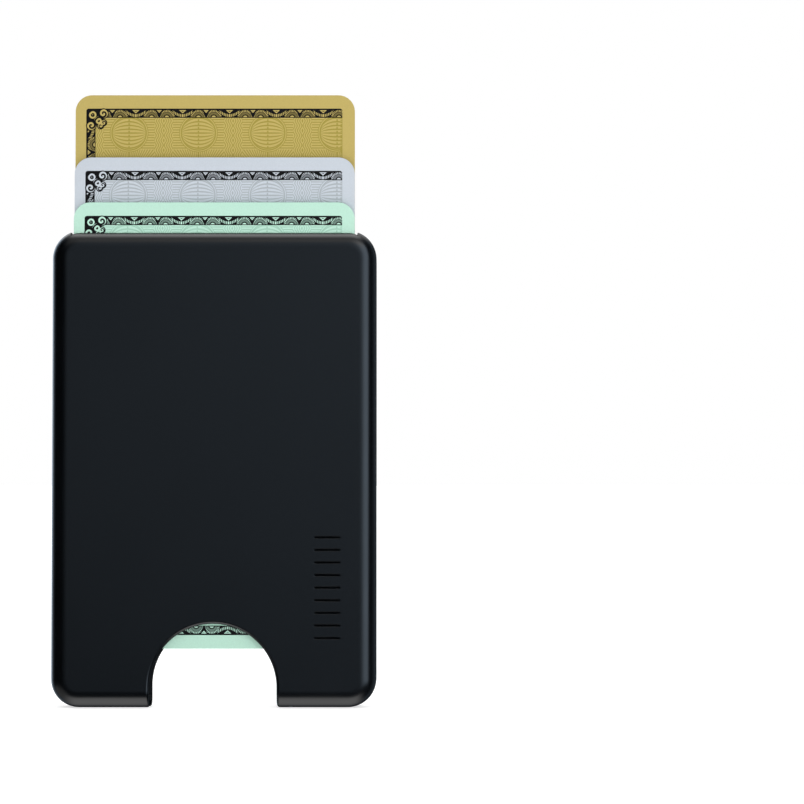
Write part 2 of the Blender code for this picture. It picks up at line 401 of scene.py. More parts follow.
def mouth_edge(edge):
    at_lip = at_depth(POCKET_FRONT_Y)(edge)
    at_end = all(abs(abs(vert.co.x) - MOUTH_HALF_WIDTH) < TINY for vert in edge.verts)
    on_mouth = (at_lip or at_end) and not at_depth(SHELL_BACK_Y)(edge)
    return is_corner(edge) and above_top_wall(edge) and on_mouth


round_edges(shell, outer_notch_edge, NOTCH_EDGE_ROUND, segments=6)
round_edges(shell, mouth_edge, MOUTH_ROUND, segments=4)

# %% [markdown]
# ## Grip grooves
#
# Fine grooves near the lower right corner break up the plain front wall and give a thumb
# some hold. A groove with a flat floor would mirror the room just as the wall does, so
# these end in a V, which mirrors itself and reads as a dark line. One groove is made for
# each place in a column and carved out, and then all the rims are broken together. Its
# round ends and the V's two flanks each take up nearly half of its height.

# %% Press in the grip grooves
GROOVE_COUNT = 9
GROOVE_LENGTH = 5.0 * MM
GROOVE_HEIGHT = 0.48 * MM
GROOVE_DEPTH = 0.30 * MM
GROOVE_PITCH = 2.4 * MM
GROOVE_RIM = 0.08 * MM
GROOVES_X = 21.8 * MM
GROOVES_Z = 23.0 * MM
END_SHARE = 0.998
FLANK_SHARE = 0.95


def add_groove(index):
    half_length, half_height = GROOVE_LENGTH / 2, GROOVE_HEIGHT / 2
    z = GROOVES_Z + (index - (GROOVE_COUNT - 1) / 2) * GROOVE_PITCH
    groove = add_block(
        f"groove_{index}",
        (GROOVES_X - half_length, FRONT_Y - OVERRUN, z - half_height),
        (GROOVES_X + half_length, FRONT_Y + GROOVE_DEPTH, z + half_height),
    )
    round_edges(groove, runs_back, half_height * END_SHARE, segments=6)
    floor_edge = at_depth(FRONT_Y + GROOVE_DEPTH)
    round_edges(groove, floor_edge, half_height * FLANK_SHARE, segments=1)
    return groove


def groove_rim(edge):
    reach = GROOVE_COUNT * GROOVE_PITCH / 2
    near = all(
        abs(vert.co.x - GROOVES_X) < GROOVE_LENGTH and abs(vert.co.z - GROOVES_Z) < reach
        for vert in edge.verts
    )
    return near and is_corner(edge) and at_depth(FRONT_Y)(edge)


for index in range(GROOVE_COUNT):
    carve(shell, add_groove(index))
round_edges(shell, groove_rim, GROOVE_RIM, segments=2)
finish_surface(shell)

# %% [markdown]
# ## Back cover
#
# The lid that closes the shell from behind carries a shallow recess for the pad and, on its
# inner side, a bay for the magnets. Both hollows follow the outline and step round the
# notch, so both are notched slabs taken out of it. A thin rim stays all round the pad. The
# edge that meets the shell carries a low tongue, as welded housings do, which keeps light
# from shining through the parting line.

# %% Model the back cover
COVER_WALL = 1.5 * MM
COVER_NOTCH_WALL = 1.2 * MM
COVER_FLOOR_Y = 2.45 * MM
PAD_RECESS_Y = 3.0 * MM
PAD_INSET = pad_low.z
PAD_NOTCH_MARGIN = 0.8 * MM
PAD_GAP = 0.06 * MM
PAD_TOP_LOWERED = HEIGHT - PAD_INSET - pad_high.z
PART_LINE_ROUND = 0.12 * MM
TONGUE_INSET = 0.25 * MM
TONGUE_HEIGHT = 0.08 * MM
COVER_NOTCH_ROUND = 0.28 * MM

cover = add_slab("back_cover_moulding", 0.0, COVER_FRONT_Y, BACK_Y)
lower_top(cover, COVER_FRONT_Y)
lower_top(cover, BACK_Y)
round_edges(cover, at_depth(BACK_Y), BACK_ROUND, segments=9)
round_edges(cover, at_depth(COVER_FRONT_Y), PART_LINE_ROUND, segments=2)
inset_and_push(cover, faces_front, TONGUE_INSET, -TONGUE_HEIGHT)

bay = add_notched_slab(
    "bay_cutter",
    inset=COVER_WALL,
    margin=COVER_NOTCH_WALL,
    front_y=COVER_FRONT_Y - OVERRUN,
    back_y=COVER_FLOOR_Y,
    lowered=PAD_TOP_LOWERED,
)
recess = add_notched_slab(
    "recess_cutter",
    inset=PAD_INSET - PAD_GAP,
    margin=PAD_NOTCH_MARGIN - PAD_GAP,
    front_y=PAD_RECESS_Y,
    back_y=BACK_Y + OVERRUN,
    lowered=PAD_TOP_LOWERED,
)
carve(cover, bay)
carve(cover, recess)
cut_notch(cover, COVER_FRONT_Y, BACK_Y)


def cover_notch_edge(edge):
    outside = all(
        vert.co.y > PAD_RECESS_Y + TINY or vert.co.z < COVER_WALL for vert in edge.verts
    )
    return is_corner(edge) and on_notch(edge) and outside and not at_depth(COVER_FRONT_Y)(edge)


round_edges(cover, cover_notch_edge, COVER_NOTCH_ROUND, segments=3)
finish_surface(cover)

# %% [markdown]
# ## Back pad
#
# The pad is a thin die-cut sheet that lies in the recess. A die leaves a slightly rounded
# edge, and that edge against the rim is the one line that shows on the wallet's back.

# %% Model the back pad
PAD_EDGE_ROUND = 0.12 * MM

pad = add_notched_slab(
    "back_pad_sheet",
    inset=PAD_INSET,
    margin=PAD_NOTCH_MARGIN,
    front_y=pad_low.y,
    back_y=pad_high.y,
    lowered=PAD_TOP_LOWERED,
)
round_edges(pad, at_depth(pad_high.y), PAD_EDGE_ROUND, segments=3)
finish_surface(pad)

# %% [markdown]
# ## Cards
#
# Three standard cards stand in the pocket like a fan. A card is a block with four round
# corners and edges that are barely broken. Each takes its place from its own box in the
# frame, so it starts where the joint that slides it expects it.

# %% Model the cards
CARD_NAMES = ("card_green", "card_silver", "card_gold")
CARD_RADIUS = 3.18 * MM
CARD_EDGE_ROUND = 0.07 * MM


def add_card(node):
    low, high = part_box(node)
    card = add_block(node + "_blank", low, high)
    round_edges(card, runs_back, CARD_RADIUS, segments=14)
    round_edges(
        card,
        lambda edge: at_depth(low.y)(edge) or at_depth(high.y)(edge),
        CARD_EDGE_ROUND,
        segments=2,
    )
    finish_surface(card)
    return card


cards = {node: add_card(node) for node in CARD_NAMES}

# %% [markdown]
# ## Finishes
#
# Every finish starts from the same three things: a Principled shader, the object's own
# coordinates so that a pattern never slides, and a fine grain that a mould or a brush left.
# The helpers below make those, and each finish then adds what is its own. A noise rarely
# leaves the middle of its range, so only that part is spread over the values wanted.

# %% Helpers for finishes
NOISE_LOW = 0.3
NOISE_HIGH = 0.7


def new_finish(name, colour, roughness, metallic=0.0, specular=0.5):
    """A material whose constants sit on the shader's own sockets."""
    finish = bpy.data.materials.new(name)
    finish.use_nodes = True
    shader = finish.node_tree.nodes["Principled BSDF"]
    shader.inputs["Base Color"].default_value = (*colour, 1.0)
    shader.inputs["Roughness"].default_value = roughness
    shader.inputs["Metallic"].default_value = metallic
    shader.inputs["Specular IOR Level"].default_value = specular
    finish.diffuse_color = (*colour, 1.0)
    return finish


def add_noise(finish, size, detail=2.0, stretch=(1.0, 1.0, 1.0)):
    """Noise with features of about that size in metres; stretch above 1 squeezes an axis."""
    nodes = finish.node_tree.nodes
    links = finish.node_tree.links
    place = nodes.new("ShaderNodeTexCoord")
    mapping = nodes.new("ShaderNodeMapping")
    mapping.inputs["Scale"].default_value = stretch
    noise = nodes.new("ShaderNodeTexNoise")
    noise.inputs["Scale"].default_value = 1.0 / size
    noise.inputs["Detail"].default_value = detail
    links.new(place.outputs["Object"], mapping.inputs["Vector"])
    links.new(mapping.outputs["Vector"], noise.inputs["Vector"])
    return noise.outputs["Fac"]


def add_range(finish, value, low, high):
    """Spreads the middle of a noise over low to high."""
    spread = finish.node_tree.nodes.new("ShaderNodeMapRange")
    spread.inputs["From Min"].default_value = NOISE_LOW
    spread.inputs["From Max"].default_value = NOISE_HIGH
    spread.inputs["To Min"].default_value = low
    spread.inputs["To Max"].default_value = high
    finish.node_tree.links.new(value, spread.inputs["Value"])
    return spread.outputs["Result"]


def wire(finish, value, socket):
    shader = finish.node_tree.nodes["Principled BSDF"]
    finish.node_tree.links.new(value, shader.inputs[socket])


def add_bump(finish, height, depth, strength=1.0):
    """Bump of that real depth in metres; a second bump builds on the first."""
    nodes = finish.node_tree.nodes
    links = finish.node_tree.links
    normal = nodes["Principled BSDF"].inputs["Normal"]
    bump = nodes.new("ShaderNodeBump")
    bump.inputs["Strength"].default_value = strength
    bump.inputs["Distance"].default_value = depth
    links.new(height, bump.inputs["Height"])
    if normal.is_linked:
        links.new(normal.links[0].from_socket, bump.inputs["Normal"])
    links.new(bump.outputs["Normal"], normal)


def mix_colours(tree, mask, first, second):
    """The first colour where the mask is 0, the second where it is 1. Either may be a link."""
    mix = tree.nodes.new("ShaderNodeMix")
    mix.data_type = "RGBA"
    for value, entry in ((first, mix.inputs["A"]), (second, mix.inputs["B"])):
        if isinstance(value, tuple):
            entry.default_value = (*value, 1.0)
        else:
            tree.links.new(value, entry)
    tree.links.new(mask, mix.inputs["Factor"])
    return mix.outputs["Result"]


def vary_colour(finish, value, low, high):
    """Blends the base colour between two colours along a value from 0 to 1."""
    wire(finish, mix_colours(finish.node_tree, value, low, high), "Base Color")


# %% [markdown]
# The shell's finish is a soft-touch lacquer over black plastic: nearly black with a cool
# cast, satin, with a very fine grain. Handling leaves soft smudges, which are slow changes
# in roughness. The cover is the same plastic without the lacquer, a touch glossier.

# %% Soft-touch and plastic finishes
SMUDGE_SIZE = 14 * MM
TONE_SIZE = 30 * MM


def moulded(name, dark, light, roughness, specular, grain, grain_depth):
    """Moulded plastic: a fine grain, slow changes of tone and handling marks."""
    finish = new_finish(name, dark, sum(roughness) / 2, 0.0, specular)
    smudges = add_noise(finish, SMUDGE_SIZE, detail=4.0)
    wire(finish, add_range(finish, smudges, *roughness), "Roughness")
    tone = add_range(finish, add_noise(finish, TONE_SIZE, detail=1.0), 0.0, 1.0)
    vary_colour(finish, tone, dark, light)
    add_bump(finish, add_noise(finish, grain, detail=3.0), grain_depth, strength=0.6)
    return finish


soft_touch = moulded(
    "soft_touch_black",
    dark=(0.0009, 0.0012, 0.0016),
    light=(0.0013, 0.0017, 0.0022),
    roughness=(0.20, 0.26),
    specular=0.18,
    grain=0.22 * MM,
    grain_depth=0.003 * MM,
)
cover_plastic = moulded(
    "satin_black_cover",
    dark=(0.0012, 0.0014, 0.0016),
    light=(0.0018, 0.0020, 0.0022),
    roughness=(0.22, 0.28),
    specular=0.20,
    grain=0.20 * MM,
    grain_depth=0.003 * MM,
)
frame_plastic = moulded(
    "black_frame_plastic",
    dark=(0.0022, 0.0022, 0.0024),
    light=(0.0034, 0.0034, 0.0036),
    roughness=(0.40, 0.52),
    specular=0.16,
    grain=0.16 * MM,
    grain_depth=0.008 * MM,
)
carrier_plastic = moulded(
    "grey_carrier_plastic",
    dark=(0.024, 0.024, 0.026),
    light=(0.034, 0.034, 0.036),
    roughness=(0.50, 0.62),
    specular=0.45,
    grain=0.18 * MM,
    grain_depth=0.008 * MM,
)
silicone = moulded(
    "dark_silicone",
    dark=(0.026, 0.026, 0.028),
    light=(0.036, 0.036, 0.038),
    roughness=(0.62, 0.75),
    specular=0.40,
    grain=0.30 * MM,
    grain_depth=0.006 * MM,
)
print("moulded finishes:", soft_touch.name, cover_plastic.name, frame_plastic.name)

# %% [markdown]
# The pad swallows light. Its surface is a fine matt film, so it has almost no gloss and a
# very fine even tooth. Faint cloudiness keeps it from looking like a hole in the picture.
# Behind it lie a fibrous adhesive film, magnets plated with nickel, and a steel plate whose
# brushing is a noise drawn out along its height.

# %% Pad, adhesive and metal finishes
pad_finish = moulded(
    "matt_black_pad",
    dark=(0.0020, 0.0020, 0.0020),
    light=(0.0028, 0.0028, 0.0028),
    roughness=(0.62, 0.74),
    specular=0.10,
    grain=0.12 * MM,
    grain_depth=0.006 * MM,
)

adhesive = new_finish("adhesive_film", (0.62, 0.60, 0.55), roughness=0.55)
fibres = add_noise(adhesive, 0.5 * MM, detail=4.0, stretch=(1.0, 1.0, 3.0))
film_tone = add_range(adhesive, fibres, 0.0, 1.0)
vary_colour(adhesive, film_tone, (0.56, 0.54, 0.49), (0.68, 0.66, 0.61))
add_bump(adhesive, fibres, 0.01 * MM)

steel = new_finish("brushed_steel", (0.56, 0.57, 0.58), roughness=0.34, metallic=1.0)
strokes = add_noise(steel, 0.25 * MM, detail=3.0, stretch=(1.0, 1.0, 0.02))
wire(steel, add_range(steel, strokes, 0.26, 0.46), "Roughness")
add_bump(steel, strokes, 0.003 * MM)

nickel = new_finish("nickel_plating", (0.66, 0.64, 0.60), roughness=0.22, metallic=1.0)
cloud = add_noise(nickel, 2.0 * MM, detail=3.0)
plating_tone = add_range(nickel, cloud, 0.0, 1.0)
wire(nickel, add_range(nickel, cloud, 0.16, 0.32), "Roughness")
vary_colour(nickel, plating_tone, (0.60, 0.58, 0.54), (0.70, 0.68, 0.64))
add_bump(nickel, add_noise(nickel, 0.15 * MM), 0.002 * MM)

# %% [markdown]
# ## Card print
#
# Each card has a plain border, a dark ornamental band, and a field of fine engraved lines.
# Drawing that with shader nodes is arithmetic on the place of a point on the card. Math
# nodes are long to write out, so a small class lets node links take +, -, * and / like
# numbers, and a yes-or-no mask is a number that is 0 or 1.

# %% A calculator made of Math nodes


class Number:
    """A value on a node link that can be used in arithmetic."""

    def __init__(self, tree, socket):
        self.tree = tree
        self.socket = socket

    def do(self, operation, *others):
        node = self.tree.nodes.new("ShaderNodeMath")
        node.operation = operation
        for value, entry in zip((self, *others), node.inputs):
            if isinstance(value, Number):
                self.tree.links.new(value.socket, entry)
            else:
                entry.default_value = value
        return Number(self.tree, node.outputs[0])

    def __add__(self, other):
        return self.do("ADD", other)

    def __sub__(self, other):
        return self.do("SUBTRACT", other)

    def __rsub__(self, other):
        return (self * -1.0) + other

    def __mul__(self, other):
        return self.do("MULTIPLY", other)

    def __truediv__(self, other):
        return self.do("DIVIDE", other)

    def __lt__(self, other):
        return self.do("LESS_THAN", other)

    def __gt__(self, other):
        return self.do("GREATER_THAN", other)

    def __and__(self, other):
        return self.do("MINIMUM", other)

    def __or__(self, other):
        return self.do("MAXIMUM", other)

    def __invert__(self):
        return 1.0 - self

    def __abs__(self):
        return self.do("ABSOLUTE")

    def wrapped(self, half):
        """Repeats from -half to half."""
        return self.do("WRAP", half, -half)

    def within(self, low, high):
        return (self > low) & (self < high)

    def stripes(self, period, share):
        """1 on a share of each period."""
        return (self / period).do("FRACT") < share

    def ramp(self, start, end):
        """Rises smoothly from 0 at start to 1 at end."""
        node = self.tree.nodes.new("ShaderNodeMapRange")
        node.interpolation_type = "SMOOTHSTEP"
        node.inputs["From Min"].default_value = start
        node.inputs["From Max"].default_value = end
        self.tree.links.new(self.socket, node.inputs["Value"])
        return Number(self.tree, node.outputs["Result"])


def distance(x, y):
    return (x * x + y * y).do("SQRT")


# %% [markdown]
# The band repeats one motif: two fans with a drooping garland between them, and small
# triangles that hang from its outer edge. Each is a few inequalities in `along`, the way
# along the band, and `across`, the way in from its outer edge. All lengths in the print are
# in millimetres. A dark rule is left free along both edges of the band.

# %% Ornament of the band
BAND_WIDTH = 1.8
MOTIF_PERIOD = 9.06
OUTER_RULE = 0.30
INNER_RULE = 0.16
TRIANGLE_LINE = 0.17
FAN_PLACE = 3.05


def triangle(along, across, half_width, start, end):
    """A triangle that points inwards."""
    slant = abs(along) / half_width + (across - start) / (end - start)
    return (across > start) & (slant < 1.0)


def outlined_triangle(along, across, half_width, start, end):
    """The outline alone: a smaller triangle is taken out of the full one."""
    inside = triangle(
        along,
        across,
        half_width * 0.45,
        start + TRIANGLE_LINE,
        end - 1.6 * TRIANGLE_LINE,
    )
    return triangle(along, across, half_width, start, end) & ~inside


def band_ornament(along, across):
    """Masks of what is light and what is half light in the dark band."""
    half = MOTIF_PERIOD / 2
    side = abs(along.wrapped(half))
    gap = side * -1.0 + half

    # A triangle hangs over the middle of the garland, and a smaller one between two motifs.
    drop = outlined_triangle(side, across, 0.70, OUTER_RULE, 0.92)
    small_drop = outlined_triangle(gap, across, 0.50, OUTER_RULE, 0.84)

    # The garland sags as a parabola and is cut into short strokes.
    sag = side * side * -0.22 + 1.36
    garland = (abs(across - sag) < 0.26) & (side < 1.95) & side.stripes(0.32, 0.50)

    # From its centre outwards, a fan has a light core, a half-light ring and a ring of rays.
    fan_side = side - FAN_PLACE
    fan_reach = distance(fan_side, across - BAND_WIDTH)
    in_fan = gap > (across * -0.42 + 0.86)
    rays = fan_side.do("ARCTAN2", across * -1.0 + BAND_WIDTH).stripes(0.22, 0.50)
    fan = (fan_reach < 0.44) | (fan_reach.within(1.14, 1.52) & rays)
    half_light = fan_reach.within(0.66, 1.06) & in_fan

    inside = across.within(OUTER_RULE, BAND_WIDTH - INNER_RULE)
    light = drop | small_drop | garland | (fan & in_fan)
    return light & inside, half_light & inside


# %% [markdown]
# In the corner the band swells into a few curls. A curl is a spiral: the distance from its
# centre and the angle around it, added up, make a stripe that winds outwards. The block is
# the same on both sides of its diagonal, so it is drawn once in `far` and `near`.

# %% Curls in the corner
CORNER_SIZE = 4.3
CURL_PITCH_SHARE = 0.86
LOBE_MARGIN = 0.20
CURLS = (
    # far, near, radius, turn
    (3.30, 0.98, 0.84, 0.10),
    (1.15, 1.15, 0.80, 0.35),
    (2.35, 2.30, 0.78, 0.60),
    (3.35, 2.75, 0.50, 0.85),
)


def corner_curls(across, down):
    """Masks of the curls and of the dark lobes behind them."""
    far = across.do("MAXIMUM", down)
    near = across.do("MINIMUM", down)
    light = None
    dark = None
    for centre_far, centre_near, radius, turn in CURLS:
        x = far - centre_far
        y = near - centre_near
        reach = distance(x, y)
        angle = y.do("ARCTAN2", x) / (2 * math.pi)
        wind = (reach / (radius * CURL_PITCH_SHARE) - angle + turn).do("FRACT") < 0.50
        curl = wind & (reach < radius)
        lobe = reach < radius + LOBE_MARGIN
        light = curl if light is None else light | curl
        dark = lobe if dark is None else dark | lobe
    return light, dark


# %% [markdown]
# The field is engraved with rows of globes. Inside a globe the lines run like meridians
# from its left pole to its right one. Between globes there are short level lines and wavy
# upright ones. The rays above and below a globe aim at a point in the gap between two rows.

# %% Engraved lines of the field
GLOBE_RADIUS = 3.3
GLOBE_PERIOD = 13.4
GLOBE_START = -3.24
ROW_PERIOD = 14.18
MERIDIANS_PER_RADIUS = 4.5
RIM_WIDTH = 0.42
LEVEL_HALF_HEIGHT = 3.2
UPRIGHTS_START = 4.9
WAVE_LENGTH = 1.9
WAVE_HEIGHT = 0.20
RAY_POINT = 9.6


def field_lines(u, v):
    """Mask of the engraved lines."""
    x = (u - GLOBE_START).wrapped(GLOBE_PERIOD / 2)
    y = (v - ROW_PERIOD / 2).wrapped(ROW_PERIOD / 2)
    side = abs(x)
    height = abs(y)
    reach = distance(x, y)
    in_globe = reach < GLOBE_RADIUS
    outside = reach > GLOBE_RADIUS + RIM_WIDTH

    chord = (x * x * -1.0 + GLOBE_RADIUS ** 2).do("MAXIMUM", 0.05).do("SQRT")
    meridians = abs((y / chord * MERIDIANS_PER_RADIUS).wrapped(0.5)) < 0.19
    axis = (side < 0.13) & y.stripes(0.75, 0.6)
    rim = abs(reach - GLOBE_RADIUS) < 0.12
    outer_rim = abs(reach - GLOBE_RADIUS - 0.36) < 0.07

    in_row = height < LEVEL_HALF_HEIGHT
    at_uprights = side > UPRIGHTS_START
    level = ~at_uprights & in_row & y.stripes(0.50, 0.40)
    wave = (y * (2 * math.pi / WAVE_LENGTH)).do("SINE") * WAVE_HEIGHT
    upright = at_uprights & (side + wave).stripes(0.45, 0.40)
    ray = side.do("ARCTAN2", height * -1.0 + RAY_POINT)
    rays = ~at_uprights & ~in_row & ray.stripes(0.062, 0.40)
    return (in_globe & (meridians | axis)) | rim | outer_rim | (outside & (level | upright | rays))


# %% [markdown]
# One node group holds the whole print, so that the three cards share it. It takes the place
# on the card in millimetres and gives three masks: the dark ink, the half light of the
# fans, and the engraved lines. The lower end mirrors the upper one.

# %% Build the print as a node group
CARD_HALF_WIDTH = 53.98 / 2
CARD_HALF_HEIGHT = 85.60 / 2
BORDER_LEFT = 2.07
BORDER_RIGHT = 2.40
BORDER_TOP = 2.60
PANEL_RADIUS = 0.5
MOTIF_START = 2.76
EDGE_TICKS = 0.38
EDGE_LINE = 0.1


def make_print_group():
    tree = bpy.data.node_groups.new("card_print", "ShaderNodeTree")
    for name in ("Across", "Up"):
        tree.interface.new_socket(name, in_out="INPUT", socket_type="NodeSocketFloat")
    for name in ("Ink", "Half light", "Lines"):
        tree.interface.new_socket(name, in_out="OUTPUT", socket_type="NodeSocketFloat")
    entry = tree.nodes.new("NodeGroupInput")
    leave = tree.nodes.new("NodeGroupOutput")
    u = Number(tree, entry.outputs["Across"])
    v = Number(tree, entry.outputs["Up"])

    left = u + (CARD_HALF_WIDTH - BORDER_LEFT)
    right = u * -1.0 + (CARD_HALF_WIDTH - BORDER_RIGHT)
    top = abs(v) * -1.0 + (CARD_HALF_HEIGHT - BORDER_TOP)

    side_in = left.do("MINIMUM", right)
    corner_x = (side_in * -1.0 + PANEL_RADIUS).do("MAXIMUM", 0.0)
    corner_y = (top * -1.0 + PANEL_RADIUS).do("MAXIMUM", 0.0)
    panel = (distance(corner_x, corner_y) < PANEL_RADIUS) & (side_in > 0.0) & (top > 0.0)
    field = (left > BAND_WIDTH) & (top > BAND_WIDTH)

    in_corner = (left < CORNER_SIZE) & (top < CORNER_SIZE)
    curls, lobes = corner_curls(left, top)
    on_left = top > left
    along = (u - MOTIF_START) * ~on_left + v * on_left
    across = top * ~on_left + left * on_left
    ornament, half_light = band_ornament(along, across)

    dark = (panel & ~field) | (in_corner & lobes)
    light = (in_corner & curls) | (~in_corner & ornament)
    half_light = half_light & dark & ~in_corner
    ink = dark & ~light & ~half_light

    ticks = right.within(0.0, EDGE_TICKS) & v.stripes(0.42, 0.5)
    lines = panel & ~dark & (field_lines(u, v) | ticks | (abs(right) < EDGE_LINE))
    for value, name in ((ink, "Ink"), (half_light, "Half light"), (lines, "Lines")):
        tree.links.new(value.socket, leave.inputs[name])
    return tree


print_group = make_print_group()
print("card print:", len(print_group.nodes), "nodes")

# %% [markdown]
# The three card finishes differ in colour only. The base is a satin film with a very fine
# speckle of paler and duller film colour, a painted sparkle that stands in for glints; the
# ink lies on it as a thin raised layer, and the engraved lines are the same colour, only deeper.

# %% Card finishes
INK = (0.0030, 0.0024, 0.0022)
INK_HEIGHT = 0.004 * MM
PAINTED_GLINT_SIZE = 0.12 * MM
FINGERMARK_SIZE = 9 * MM
PALER, DULLER, HALF_TONE = 1.05, 0.95, 0.30
CARD_COLOURS = {
    # film, and how much of it the engraved lines keep in red, green and blue
    "card_green": ((0.520, 0.795, 0.660), (0.72, 0.80, 0.76)),
    "card_silver": ((0.575, 0.622, 0.680), (0.70, 0.71, 0.70)),
    "card_gold": ((0.525, 0.414, 0.134), (0.67, 0.69, 0.42)),
}


def scaled(colour, share):
    return tuple(channel * share for channel in colour)


def make_card_finish(node):
    colour, kept = CARD_COLOURS[node]
    low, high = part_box(node)
    finish = new_finish(node + "_film", colour, roughness=0.38, specular=0.08)
    tree = finish.node_tree

    place = tree.nodes.new("ShaderNodeTexCoord")
    to_card = tree.nodes.new("ShaderNodeMapping")
    to_card.vector_type = "TEXTURE"
    to_card.inputs["Location"].default_value = (low + high) / 2
    to_card.inputs["Scale"].default_value = (MM, MM, MM)
    tree.links.new(place.outputs["Object"], to_card.inputs["Vector"])
    split = tree.nodes.new("ShaderNodeSeparateXYZ")
    tree.links.new(to_card.outputs["Vector"], split.inputs["Vector"])
    printed = tree.nodes.new("ShaderNodeGroup")
    printed.node_tree = print_group
    tree.links.new(split.outputs["X"], printed.inputs["Across"])
    tree.links.new(split.outputs["Z"], printed.inputs["Up"])

    # Painted glints: a fine speckle of paler and duller film colour in place of a sparkle's
    # highlights.
    painted_glint_speckle = add_range(finish, add_noise(finish, PAINTED_GLINT_SIZE), 0.0, 1.0)
    engraved = tuple(channel * share for channel, share in zip(colour, kept))
    film = mix_colours(tree, painted_glint_speckle, scaled(colour, DULLER), scaled(colour, PALER))
    film = mix_colours(tree, printed.outputs["Lines"], film, engraved)
    film = mix_colours(tree, printed.outputs["Half light"], film, scaled(colour, HALF_TONE))
    film = mix_colours(tree, printed.outputs["Ink"], film, INK)
    wire(finish, film, "Base Color")
    fingermarks = add_noise(finish, FINGERMARK_SIZE, detail=3.0)
    wire(finish, add_range(finish, fingermarks, 0.34, 0.44), "Roughness")
    add_bump(finish, printed.outputs["Ink"], INK_HEIGHT, strength=0.5)
    return finish


card_finishes = {node: make_card_finish(node) for node in CARD_NAMES}
print("card finishes:", [finish.name for finish in card_finishes.values()])

# %% [markdown]
# ## Put finishes on pieces and pieces on bodies
#
# A new piece stands for one node of the frame, rides on that node's body, and takes its
# finish. The nodes that stay, deep inside the wallet, only change their material. The first
# entry whose start fits a node's name decides, so the magnets come after their carrier.

# %% Dress and attach every piece


def attach(piece, node, body, finish):
    piece.data.materials.clear()
    piece.data.materials.append(finish)
    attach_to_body(piece, body)
    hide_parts(node)


attach(shell, "front_shell", "wallet", soft_touch)
attach(cover, "back_cover", "wallet", cover_plastic)
attach(pad, "back_pad", "wallet", pad_finish)
for node, card in cards.items():
    attach(card, node, node, card_finishes[node])

NODE_FINISHES = {
    "card_frame": frame_plastic,
    "grip_strip": silicone,
    "shield_plate": steel,
    "magnet_carrier": carrier_plastic,
    "magnet_": nickel,
    "alignment_magnet": nickel,
    "adhesive_sheet": adhesive,
}
for name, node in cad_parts.items():
    for start, finish in NODE_FINISHES.items():
        if name.startswith(start):
            for material_slot in node.material_slots:
                material_slot.material = finish
            break

# %% [markdown]
# ## Floor
#
# The floor is a light table: a pale sheet that also glows a little, so the wallet stands on
# white with only a breath of shadow. It is kept out of the reflections, because a white
# sheet mirrored in black plastic would wash out its edges.

# %% Lay the floor
FLOOR_RADIUS = 8.0
FLOOR_GLOW = 0.62

start_clean()
bpy.ops.mesh.primitive_circle_add(vertices=128, radius=FLOOR_RADIUS, fill_type="NGON")
floor = bpy.context.object
floor.name = "floor"
floor.visible_glossy = False
floor_finish = new_finish("pale_floor", (0.80, 0.80, 0.80), roughness=0.9, specular=0.1)
paper = add_range(floor_finish, add_noise(floor_finish, 0.3 * MM, detail=3.0), 0.0, 1.0)
vary_colour(floor_finish, paper, (0.79, 0.79, 0.79), (0.81, 0.81, 0.81))
glow = floor_finish.node_tree.nodes["Principled BSDF"].inputs
glow["Emission Color"].default_value = (1.0, 1.0, 1.0, 1.0)
glow["Emission Strength"].default_value = FLOOR_GLOW
floor.data.materials.append(floor_finish)
floor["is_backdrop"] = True
print("floor glow:", FLOOR_GLOW)

# %% [markdown]
# ## Lights
#
# Two lamps light what is matt: a very large soft one overhead, and a soft key to the right
# front that models the cards and shades the notch. Both are kept out of reflections, which
# the next two cells draw on their own.

# %% Hang the lamps


def add_light(name, kind, energy, place, aim):
    data = bpy.data.lights.new(name, kind)
    data.energy = energy
    light = bpy.data.objects.new(name, data)
    light.location = place
    direction = Vector(aim) - Vector(place)
    light.rotation_euler = direction.to_track_quat("-Z", "Y").to_euler()
    light.visible_camera = False
    light.visible_glossy = False
    bpy.context.scene.collection.objects.link(light)
    return light


overhead = add_light(
    "overhead_dome", "SUN", energy=1.52, place=(0.0, 0.02, 0.6), aim=(0.0, 0.0, 0.0)
)
overhead.data.angle = math.radians(100.0)

key = add_light(
    "right_key", "AREA", energy=0.62, place=(0.26, -0.42, 0.22), aim=(0.0, 0.0, 0.05)
)
key.data.shape = "RECTANGLE"
key.data.size = 0.22
key.data.size_y = 0.34
print("lamps:", overhead.name, "and", key.name)

# %% [markdown]
# ## Reflections
#
# A black object shows its shape only by what it mirrors, so the room it mirrors is designed
# panel by panel, as a studio would hang sheets and softboxes. The world's shader
# knows the direction of each ray, and every panel is a smooth window in that direction:
# a soft front that grows to the upper right, a tall strip to the right front with a weaker
# twin behind, a broad panel overhead, one below, faint ones behind to draw the two rims, a
# patch of ground at the lower left, and nearly nothing else on the left.
#
# A ray's direction is a vector of length 1. Its x, y and z bound most panels, and for the
# upright ones its turn does, the angle in degrees from straight ahead to the right.

# %% Draw the room that the wallet mirrors
FACE_GLOW = 1.54
FILL_GLOW = 0.10
STRIP_GLOW, TWIN_GLOW = 4.6, 1.4
LEFT_RIM_GLOW, RIGHT_RIM_GLOW = 0.5, 0.3
ABOVE_GLOW, ZENITH_GLOW = 1.6, 7.0
BELOW_GLOW = 5.2
GROUND_GLOW = 1.1

world = bpy.data.worlds.new("studio")
bpy.context.scene.world = world
world.use_nodes = True
world.cycles.sampling_method = "NONE"
room = world.node_tree


